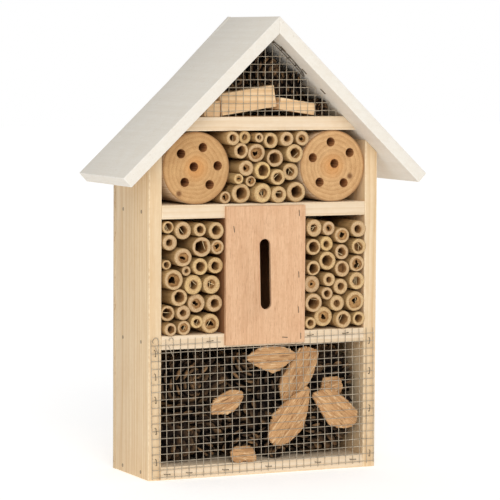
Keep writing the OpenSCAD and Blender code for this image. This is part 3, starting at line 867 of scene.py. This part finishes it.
def scale_template(length, width, thickness):
    """One scale along +X from its root at the origin."""
    bm = bmesh.new()
    bmesh.ops.create_cube(bm, size=1)
    across = [edge for edge in bm.edges if abs(edge.verts[0].co.y - edge.verts[1].co.y) > 0.5]
    bmesh.ops.subdivide_edges(bm, edges=across, cuts=3, use_grid_fill=True)
    for vert in bm.verts:
        outer = vert.co.x > 0
        side = abs(vert.co.y) * 2
        vert.co.x = length * (1 - 0.3 * side ** 2) if outer else 0
        vert.co.y *= width if outer else width * 0.4
        vert.co.z *= thickness * (1 - 0.55 * side ** 2) if outer else thickness * 0.4
        vert.co.z += thickness * 0.5 if outer else 0
    bm.normal_update()
    tip = [face for face in bm.faces if face.normal.x > 0.6]
    bmesh.ops.inset_region(bm, faces=tip, thickness=thickness * 0.2, depth=thickness * 0.22)
    mark = bm.verts.layers.float.new("tip")
    for vert in bm.verts:
        vert[mark] = min(1.0, max(0.0, vert.co.x / (length * 1.02)))
    mesh = bpy.data.meshes.new("scale")
    bm.to_mesh(mesh)
    bm.free()
    return mesh


def cone_template(name, radius, length, count, rng):
    """A whole cone along +Z round the origin, built from one scale."""
    scale_mesh = scale_template(radius * 0.64, radius * 0.5, radius * 0.12)
    bm = bmesh.new()
    bmesh.ops.create_uvsphere(bm, u_segments=8, v_segments=6, radius=radius * 0.5)
    bmesh.ops.scale(bm, vec=(1, 1, length / radius * 0.78), verts=bm.verts)
    tone = bm.verts.layers.float.new("tone")
    bm.verts.layers.float.new("tip")
    for index in range(count):
        share = (index + 0.5) / count
        girth = math.sin(math.pi * (0.14 + 0.80 * share)) ** 0.7
        lift = math.radians(-25 + 95 * share + rng.uniform(-8, 8))
        size = 0.55 + 0.6 * girth
        reach = radius * girth * 0.42
        turn = Matrix.Rotation(index * golden_angle + rng.uniform(-0.06, 0.06), 4, "Z")
        root = Matrix.Translation((reach, 0, length * (share - 0.5) * 0.86))
        tilt = Matrix.Rotation(-lift, 4, "Y")
        before = len(bm.verts)
        bm.from_mesh(scale_mesh)
        bm.verts.ensure_lookup_table()
        fresh = bm.verts[before:]
        bmesh.ops.transform(bm, matrix=turn @ root @ tilt @ Matrix.Scale(size, 4), verts=fresh)
        own = rng.random() ** 2.0
        for vert in fresh:
            vert[tone] = own
    mesh = bpy.data.meshes.new(name)
    bm.to_mesh(mesh)
    bm.free()
    return mesh


rng = random.Random(8)
cone_shapes = []
for index, length in enumerate((2.3, 2.6, 2.1)):
    cone_shapes.append(cone_template("cone_" + str(index), 1.0, length, scales_per_cone, rng))
print("faces of one cone:", len(cone_shapes[0].polygons))


# %% Cones in their places
def chip_outlines():
    """Each chip's outline seen from the front, and how far back the chip reaches."""
    outlines = []
    for node in ("front_wood_chips", "rear_wood_chips"):
        for points in solids(node):
            middle = points.mean(0)
            flat = points[points[:, 1] < points[:, 1].min() + 0.1 * mm]
            ring = sorted(flat, key=lambda p: math.atan2(p[2] - middle[2], p[0] - middle[0]))
            outlines.append(([(p[0], p[2]) for p in ring], points[:, 1].min(), points[:, 1].max()))
    return outlines


def under_outline(ring, x, z):
    """Whether a line from a point crosses an outline an odd number of times."""
    crossings = 0
    for (x1, z1), (x2, z2) in zip(ring, ring[1:] + ring[:1]):
        if (z1 > z) != (z2 > z) and x < x1 + (z - z1) / (z2 - z1) * (x2 - x1):
            crossings += 1
    return crossings % 2 == 1


def clear_chips(bm, outlines):
    """Moves the points of a cone that would stick through a chip to just behind it."""
    for ring, front, back in outlines:
        for vert in bm.verts:
            if front - 6 * mm < vert.co.y < back and under_outline(ring, vert.co.x, vert.co.z):
                vert.co.y = back + 0.1 * (vert.co.y - front)


def lay_cones(name, node, scale, rng, templates, low, high):
    """Lays a cone at each of a node's solids, turned at random, inside a box."""
    bm = bmesh.new()
    for points in solids(node):
        middle = Vector((points.min(0) + points.max(0)) / 2)
        radius = (points[:, 0].max() - points[:, 0].min()) / 2
        angle = rng.uniform(0, 2 * math.pi)
        axle = Vector([rng.gauss(0, 1) for axis in range(3)])
        turn = Matrix.Rotation(angle, 4, axle)
        cone = bmesh.new()
        cone.from_mesh(rng.choice(templates))
        cone.transform(Matrix.Translation(middle) @ turn @ Matrix.Scale(radius * scale, 4))
        for axis in range(3):
            places = [vert.co[axis] for vert in cone.verts]
            push = max(0, low[axis] - min(places)) - max(0, max(places) - high[axis])
            shift = Vector((0, 0, 0))
            shift[axis] = push
            bmesh.ops.translate(cone, vec=shift, verts=cone.verts)
        clear_chips(cone, outlines)
        join_into(bm, cone)
    piece = finish_piece(bm, name, [cone_bark], [node], smooth=30)
    print(name, "faces:", len(piece.data.polygons))


outlines = chip_outlines()
floor_low, floor_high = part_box("bottom_board")
chips_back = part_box("front_wood_chips")[1].y
panel_low, panel_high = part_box("back_panel")
room_low = Vector((floor_low.x, chips_back - 3 * mm, floor_high.z))
room_high = Vector((floor_high.x, panel_low.y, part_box("lower_shelf")[0].z))
lay_cones("scaled_front_cones", "front_pine_cones", 1.12, rng, cone_shapes, room_low, room_high)
lay_cones("scaled_rear_cones", "rear_pine_cones", 1.12, rng, cone_shapes, room_low, room_high)
attic_low = Vector((-1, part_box("attic_mesh")[1].y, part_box("top_shelf")[1].z))
attic_high = Vector((1, panel_low.y, panel_high.z))
lay_cones("scaled_attic_cones", "attic_cones", 1.0, rng, cone_shapes, attic_low, attic_high)

# %% [markdown]
# ## Wood of the chips
# A hewn chip shows long torn fibres, some pale where fresh wood is open and some dark
# where dirt sits in a split. The chips lie at many angles, so their grain can't follow one
# axis of the house. It follows a UV map that is laid along each chip's own length.

# %% Material: wood chip
def make_chip_wood():
    material, tree, shader, where = new_material("chip_wood", along_y, uv=True)
    wood = place_group(tree, wood_grain, Vector=where, Pith=(30, 18, 0), Ring_Width=2.8, Wobble=5.0,
                       Rings=0.1, Fibres=1.1, Streaks=0.9,
                       Early_Wood=tint(208, 165, 117), Late_Wood=tint(148, 104, 64))
    dirt = place_group(tree, patches, Vector=where, Size=7.0, Amount=0.7)
    splits = place_group(tree, specks, Vector=where, Stretch=(0.9, 0.9, 0.08),
                         Amount=0.8, Rarity=0.6)
    torn = place_group(tree, specks, Vector=where, Stretch=(0.5, 0.5, 0.1),
                       Amount=0.55, Rarity=0.56)
    colour = blend(tree, dirt["Mask"], wood["Color"], tint(178, 126, 80))
    colour = blend(tree, torn["Mask"], colour, tint(232, 202, 160))
    colour = blend(tree, splits["Mask"], colour, tint(122, 80, 48))
    feed(tree, shader.inputs["Base Color"], colour)
    shader.inputs["Roughness"].default_value = 0.78
    shader.inputs["Specular IOR Level"].default_value = 0.25
    relief = calculate(tree, "SUBTRACT", wood["Height"], splits["Mask"])
    bump(tree, shader, relief, 0.7, 0.35 * mm)
    return material


chip_wood = make_chip_wood()
print("nodes in the chips' material:", len(chip_wood.node_tree.nodes))

# %% [markdown]
# ## Shape of the chips
# The chips are hewn flakes: long ridges where the fibres split, a slightly domed face and
# a ragged edge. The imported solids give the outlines. Each outline is cut into a fine grid
# with planes, its points are moved by ridges along the chip's own length, and the sheet
# is given its thickness at the end, once the surface is final.

# %% Wood chips
grid = 1.3 * mm


def chip_sheet(points, seed):
    """One chip: a domed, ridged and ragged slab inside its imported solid."""
    low, high = points.min(0), points.max(0)
    thickness = high[1] - low[1]
    flat = points[points[:, 1] < low[1] + 0.1 * mm]
    middle, along = direction_of(flat)
    along = Vector((along.x, 0, along.z)).normalized()
    sideways = Vector((-along.z, 0, along.x))
    ring = sorted(flat, key=lambda p: math.atan2(p[2] - middle.z, p[0] - middle.x))
    bm = bmesh.new()
    corners = [bm.verts.new((p[0], low[1], p[2])) for p in ring]
    bm.faces.new(corners)
    bmesh.ops.scale(bm, vec=(1.1, 1, 1.1), space=Matrix.Translation(-middle), verts=bm.verts)
    bmesh.ops.bevel(bm, geom=bm.verts[:], offset=4.5 * mm, offset_type="OFFSET", segments=4,
                    profile=0.5, affect="VERTICES", material=-1, clamp_overlap=True)
    low = np.array([min(vert.co[axis] for vert in bm.verts) for axis in range(3)])
    high = np.array([max(vert.co[axis] for vert in bm.verts) for axis in range(3)])
    for axis, normal in ((0, Vector((1, 0, 0))), (2, Vector((0, 0, 1)))):
        for step in range(1, int((high[axis] - low[axis]) / grid)):
            geometry = bm.verts[:] + bm.edges[:] + bm.faces[:]
            bmesh.ops.bisect_plane(bm, geom=geometry, dist=0.01 * mm,
                                   plane_co=normal * (low[axis] + step * grid), plane_no=normal)
    bmesh.ops.recalc_face_normals(bm, faces=bm.faces)
    if bm.faces[:][0].normal.y > 0:
        bmesh.ops.reverse_faces(bm, faces=bm.faces)
    border = [vert.co.copy() for vert in bm.verts if vert.is_boundary]
    uv = bm.loops.layers.uv.new("grain")
    for face in bm.faces:
        for loop in face.loops:
            offset = loop.vert.co - middle
            cross, down = offset.dot(sideways) / mm, offset.dot(along) / mm
            loop[uv].uv = (cross + 40 * seed, down + 60 * seed)
    for vert in bm.verts:
        offset = vert.co - middle
        inside = min((vert.co - place).length for place in border)
        dome = min(1.0, inside / (5 * mm)) ** 0.6
        cross, down = offset.dot(sideways) / mm, offset.dot(along) / mm
        ridge = noise.noise(Vector((cross * 0.45, down * 0.05, seed * 7.0)))
        ridge += 0.4 * noise.noise(Vector((cross * 1.4, down * 0.16, seed * 9.0 + 40)))
        sink = (1 - dome) * 0.42 + 0.11 * (1 + ridge) * dome
        vert.co.y += thickness * max(0.0, sink)
        ragged = noise.noise(Vector((cross * 0.8, down * 0.25, seed * 5.0 + 9)))
        ragged += 0.8 * noise.noise(Vector((cross * 0.16, down * 0.12, seed * 3.0 + 5)))
        if vert.is_boundary:
            vert.co += (middle - vert.co).normalized() * (0.4 + 1.3 * ragged) * mm
    bmesh.ops.solidify(bm, geom=bm.faces[:], thickness=-thickness * 0.5)
    bmesh.ops.recalc_face_normals(bm, faces=bm.faces)
    return bm


def lay_chips(name, node):
    bm = bmesh.new()
    for index, points in enumerate(solids(node)):
        join_into(bm, chip_sheet(points, seed=index + 1))
    piece = finish_piece(bm, name, [chip_wood], [node], smooth=55)
    print(name, "faces:", len(piece.data.polygons))


lay_chips("hewn_front_chips", "front_wood_chips")
lay_chips("hewn_rear_chips", "rear_wood_chips")

# %% [markdown]
# ## Metals
# The zinc on thin wire goes dull, so it is barely metallic here, and its warm colour is
# partly a painted reflection of the wood round it. Only the plate of the hanger still shines.
# Staples are darker, and nails have a warm film of rust. One function with four pairs of
# colours makes them all.

# %% Materials: metals
def make_metal(name, light, dark, metallic, roughness):
    material, tree, shader, where = new_material(name)
    dull = place_group(tree, patches, Vector=where, Size=6.0, Amount=0.9)
    rough = spread(tree, dull["Mask"], 0, 1, roughness, roughness + 0.2)
    feed(tree, shader.inputs["Base Color"], blend(tree, dull["Mask"], light, dark))
    feed(tree, shader.inputs["Roughness"], rough)
    shader.inputs["Metallic"].default_value = metallic
    bump(tree, shader, dull["Mask"], 0.2, 0.05 * mm)
    return material


# The wire's warm colour is partly dull zinc and partly a painted reflection of the wood round it.
galvanised = make_metal("galvanised_wire", tint(192, 180, 160), tint(138, 124, 104), 0.25, 0.5)
staple_metal = make_metal("staple_metal", tint(124, 110, 90), tint(76, 64, 50), 0.4, 0.45)
nail_metal = make_metal("nail_metal", tint(166, 146, 118), tint(120, 98, 72), 0.3, 0.5)
zinc = make_metal("zinc", tint(200, 198, 192), tint(150, 146, 138), 0.8, 0.35)
print("metals:", galvanised.name, staple_metal.name, nail_metal.name, zinc.name)

# %% [markdown]
# ## Wire mesh
# The mesh is thin galvanised wire. Straight rods would look like a printed grid, because
# real wire keeps small bends from the roll. Each wire is a curve through points every few
# millimetres, moved a little by smooth noise, and is turned into a mesh when it is done.
# The noise that moves points sideways starts from the clock unless it is given a seed.

# %% Wires
noise.seed_set(11)


def bent_line(start, end, wander, seed, step=3.0 * mm):
    """Points from start to end, moved a little sideways by smooth noise."""
    way = end - start
    count = max(2, round(way.length / step))
    points = []
    for index in range(count + 1):
        share = index / count
        place = start.lerp(end, share)
        along = Vector((share * way.length / (11 * mm), seed * 3.7, 0.5))
        drift = noise.noise_vector(along) * wander
        drift.y *= 0.6
        points.append(place + drift)
    return points


def wires_to_piece(name, lines, thickness, material, nodes, sides=1):
    """Sweeps a round wire along each line of points and makes one mesh of them."""
    curve = bpy.data.curves.new(name + "_lines", "CURVE")
    curve.dimensions = "3D"
    curve.bevel_depth = thickness / 2
    curve.bevel_resolution = sides
    curve.use_fill_caps = True
    for points in lines:
        spline = curve.splines.new("POLY")
        spline.points.add(len(points) - 1)
        for slot_point, place in zip(spline.points, points):
            slot_point.co = (*place, 1)
    holder = bpy.data.objects.new(name + "_lines", curve)
    mesh = bpy.data.meshes.new_from_object(holder)
    bm = bmesh.new()
    bm.from_mesh(mesh)
    bmesh.ops.remove_doubles(bm, verts=bm.verts, dist=0.001 * mm)
    bpy.data.objects.remove(holder)
    bpy.data.curves.remove(curve)
    bpy.data.meshes.remove(mesh)
    return finish_piece(bm, name, [material], nodes, smooth=60)


def wire_ends(points):
    """The two end points of a straight packed wire."""
    middle, along = direction_of(points)
    reach = (points - np.array(middle)) @ np.array(along)
    start = points[reach < reach.min() + 0.01 * mm].mean(0)
    end = points[reach > reach.max() - 0.01 * mm].mean(0)
    return Vector(start), Vector(end)


wire_thickness = 0.52 * mm
for node, wander in (("lower_mesh_uprights", 0.2 * mm), ("lower_mesh_crosswires", 0.18 * mm)):
    lines = []
    for index, points in enumerate(solids(node)):
        start, end = wire_ends(points)
        lines.append(bent_line(start, end, wander, index))
    wires_to_piece("bent_" + node, lines, wire_thickness, galvanised, [node])
    print(node, len(lines))

# %% [markdown]
# ## Curled wire ends
# The upper left corner of the lower mesh was bent while it was cut, so its last wires end
# in small curls. Each is a short path of six points that starts at the top of an upright
# and stays close to the boards. A real spiral would look too regular for a cut end.

# %% Curled ends at the corner of the mesh
corner_wires = [wire_ends(points) for points in solids("lower_mesh_uprights")]
corner_wires.sort(key=lambda ends: ends[0].x)
curl = (
    (0, 0, -1.5),
    (0.5, -0.3, 0.6),
    (2.0, -0.8, 1.7),
    (4.0, -1.0, 1.2),
    (5.2, -0.7, -0.8),
    (4.4, -0.3, -2.6),
)
curls = []
for index, way, size in ((1, -1.0, 1.0), (3, -1.3, 0.55)):
    top = max(corner_wires[index], key=lambda place: place.z)
    curls.append([top + Vector((across * way, out, up)) * size * mm for across, out, up in curl])
    low = top + Vector((0, 0, -10 - index)) * mm
    curls.append(bent_line(low, top + Vector((3.2 * way, -0.6, -4.5)) * mm, 0.4 * mm, index))
wires_to_piece("curled_wire_ends", curls, wire_thickness, galvanised, [], 2)
print("curled ends:", len(curls))

# %% [markdown]
# ## Torn fibres
# Sawing leaves long fibres in some bores. A hair system could make them. The wire helper
# does it as well with a thinner line, bent more strongly, from one side of a bore to the
# other, just behind the rim.

# %% Torn fibres in the bamboo
not_metallic = 0.0
fibre_finish = make_metal("torn_fibre", tint(248, 224, 176), tint(222, 186, 132),
                          not_metallic, 0.85)
fibre_thickness = 0.38 * mm
rng = random.Random(21)
strands = []
for middle, bore in mouths:
    for turn in range(rng.choice((0, 0, 0, 1, 2))):
        first, second = rng.uniform(0, 6.28), rng.uniform(1.6, 3.6)
        near = Vector((math.cos(first), 0, math.sin(first))) * bore * 0.95
        far = Vector((math.cos(first + second), 0, math.sin(first + second))) * bore * 0.95
        start = middle + near + Vector((0, rng.uniform(0.6, 3.0) * mm, 0))
        end = middle + far + Vector((0, rng.uniform(0.6, 4.0) * mm, 0))
        strands.append(bent_line(start, end, 0.9 * mm, rng.uniform(0, 50), 0.6 * mm))
wires_to_piece("torn_bamboo_fibres", strands, fibre_thickness, fibre_finish, [])
print("torn fibres:", len(strands))

# %% [markdown]
# ## Folded strip of the attic mesh
# The attic mesh is cut too wide on the right, and the spare strip is folded forward under
# the roof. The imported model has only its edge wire. Here the strip bows out between its
# ends: it has two wires along it, and each upright of the mesh goes on across them.

# %% Attic mesh with its folded strip
def folded(edge, share, part):
    """A point of the folded strip: share runs down its edge, part runs out from the mesh."""
    place = edge[0].lerp(edge[1], share)
    forward = (mesh_plane - place.y) * part * math.sin(math.pi * min(1.0, 0.03 + share)) ** 0.5
    return Vector((place.x - (1 - part) * 1.5 * mm, mesh_plane - forward, place.z))


strip_thickness = 0.75 * mm
steps_along = 24
lines = []
strip_lines = []
strip_edge = None
attic_wires = [wire_ends(points) for points in solids("attic_mesh")]
mesh_plane = max(end.y for start, end in attic_wires)
for index, (start, end) in enumerate(attic_wires):
    high_end, low_end = sorted((start, end), key=lambda place: -place.z)
    if min(start.y, end.y) < mesh_plane - 4 * mm:
        strip_edge = (high_end, low_end)
        for part in (1.0, 0.45):
            shares = [step / steps_along for step in range(steps_along + 1)]
            strip_lines.append([folded(strip_edge, share, part) for share in shares])
    else:
        lines.append(bent_line(start, end, 0.3 * mm, index + 50))
for index, (start, end) in enumerate(attic_wires):
    upright = abs(start.x - end.x) < 0.5 * mm
    top = max((start, end), key=lambda place: place.z)
    if upright and strip_edge and strip_edge[0].x < top.x < strip_edge[1].x:
        share = (top.x - strip_edge[0].x) / (strip_edge[1].x - strip_edge[0].x)
        rim = folded(strip_edge, share, 1.0)
        strip_lines.append(bent_line(top, rim, 0.2 * mm, index + 90, 1.5 * mm))
wires_to_piece("bent_attic_mesh", lines, wire_thickness, galvanised,
               ["attic_mesh"])
# The strip is the same wire as the mesh, painted darker as the shade under the roof.
shaded_strip_wire = make_metal("shaded_strip_wire", tint(112, 100, 84), tint(64, 54, 44), 0.3, 0.55)
wires_to_piece("folded_attic_strip", strip_lines, strip_thickness, shaded_strip_wire,
               [])
print("wires in the attic:", len(lines), "and in its strip:", len(strip_lines))

# %% [markdown]
# ## Staples
# A staple is one bent wire with rounded corners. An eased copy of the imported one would
# have square corners, so it is swept along its own path like the mesh. The staples of the
# attic mesh lie nearly hidden under the roof, and an eased copy does for them.

# %% Staples
staple_wire = 0.55 * mm


def staple_line(points):
    """The path of one staple: a leg, a round corner, the crown, and back again."""
    front = points[points[:, 1] < points[:, 1].min() + 0.3 * mm]
    middle, along = direction_of(front)
    half = (front - np.array(middle)) @ np.array(along)
    reach = along * (half.max() - 0.4 * mm)
    inward = Vector((0, 1, 0))
    deep = inward * (points[:, 1].max() - points[:, 1].min() - 0.5 * mm)
    crown = middle + inward * 0.35 * mm
    corner = 0.6 * mm
    side = along * corner
    return [
        crown - reach + deep,
        crown - reach + inward * corner,
        crown - reach + side * 0.3 + inward * corner * 0.3,
        crown - reach + side,
        crown,
        crown + reach - side,
        crown + reach - side * 0.3 + inward * corner * 0.3,
        crown + reach + inward * corner,
        crown + reach + deep,
    ]


for node in ("lower_mesh_staples", "panel_staples"):
    lines = [staple_line(points) for points in solids(node)]
    wires_to_piece("bent_" + node, lines, staple_wire, staple_metal, [node], 2)
eased_board("attic_mesh_staples", staple_metal, 0.15 * mm)
print("staples of the front panel:", len(lines))

# %% [markdown]
# ## Nails and hanger
# Nails, screws, the strap and the ring already have their exact shape in the packed
# model, and only need merging and easing. The nails in the roof have been painted over.
# The ring swings in the strap, so it rides on a body of its own.

# %% Nails and hanger
eased_board("side_nails", nail_metal, 0.2 * mm)
eased_board("back_nails", nail_metal, 0.2 * mm)
eased_board("roof_nails", roof_paint, 0.2 * mm)
eased_board("hanger_strap", zinc, 0.12 * mm)
eased_board("hanger_screws", zinc, 0.2 * mm)
ring = merged_copy("hanger_ring")
ring = finish_piece(ring, "smooth_hanger_ring", [zinc], ["hanger_ring"],
                    "hanger_ring", 60)
print("faces of the ring:", len(ring.data.polygons))

# %% [markdown]
# ## Floor and light
# The house stands on a plain pale floor in soft studio light: a surround that fills every
# side and is a little brighter from below, and one broad light from the front left. A sun
# with a wide angle gives soft shadows and lights the far floor as brightly as the near
# floor. The floor glows slightly, and the surround looks white to the camera, so that the
# two meet without a line.

# %% Floor
floor_reach = 8
floor_glow = 0.38
floor_bm = bmesh.new()
bmesh.ops.create_grid(floor_bm, x_segments=1, y_segments=1, size=floor_reach)
floor_mesh = bpy.data.meshes.new("floor")
floor_bm.to_mesh(floor_mesh)
floor_bm.free()
floor = bpy.data.objects.new("floor", floor_mesh)
bpy.context.scene.collection.objects.link(floor)
floor_material = bpy.data.materials.new("floor_white")
floor_material.use_nodes = True
floor_shader = floor_material.node_tree.nodes["Principled BSDF"]
floor_shader.inputs["Base Color"].default_value = (0.95, 0.95, 0.95, 1)
floor_shader.inputs["Emission Color"].default_value = (1, 1, 1, 1)
floor_shader.inputs["Emission Strength"].default_value = floor_glow
floor_shader.inputs["Roughness"].default_value = 0.9
floor_mesh.materials.append(floor_material)
print("floor from", -floor_reach, "to", floor_reach, "m")

# %% Surround and sun
fill_light = 0.6
from_below = fill_light * 1.07
from_above = fill_light * 0.78
world = bpy.data.worlds.new("studio")
world.use_nodes = True
tree = world.node_tree
sky = tree.nodes["Background"]
sky.inputs["Color"].default_value = (1, 1, 1, 1)
way = add(tree, "TexCoord").outputs["Generated"]
height = add(tree, "SeparateXYZ", None, Vector=way).outputs["Z"]
fill = spread(tree, height, 0, 1, from_below, from_above)
seen = add(tree, "LightPath").outputs["Is Camera Ray"]
feed(tree, sky.inputs["Strength"], calculate(tree, "MAXIMUM", fill, seen))
bpy.context.scene.world = world

key_data = bpy.data.lights.new("key", "SUN")
key_data.energy = 1.3
key_data.angle = math.radians(35)
key_data.color = (1.0, 0.98, 0.95)
key = bpy.data.objects.new("key", key_data)
key.rotation_euler = (math.radians(64), 0, math.radians(-20))
bpy.context.scene.collection.objects.link(key)
bpy.context.scene.view_settings.view_transform = "Standard"
print("sun:", key_data.energy, "and surround:", fill_light)
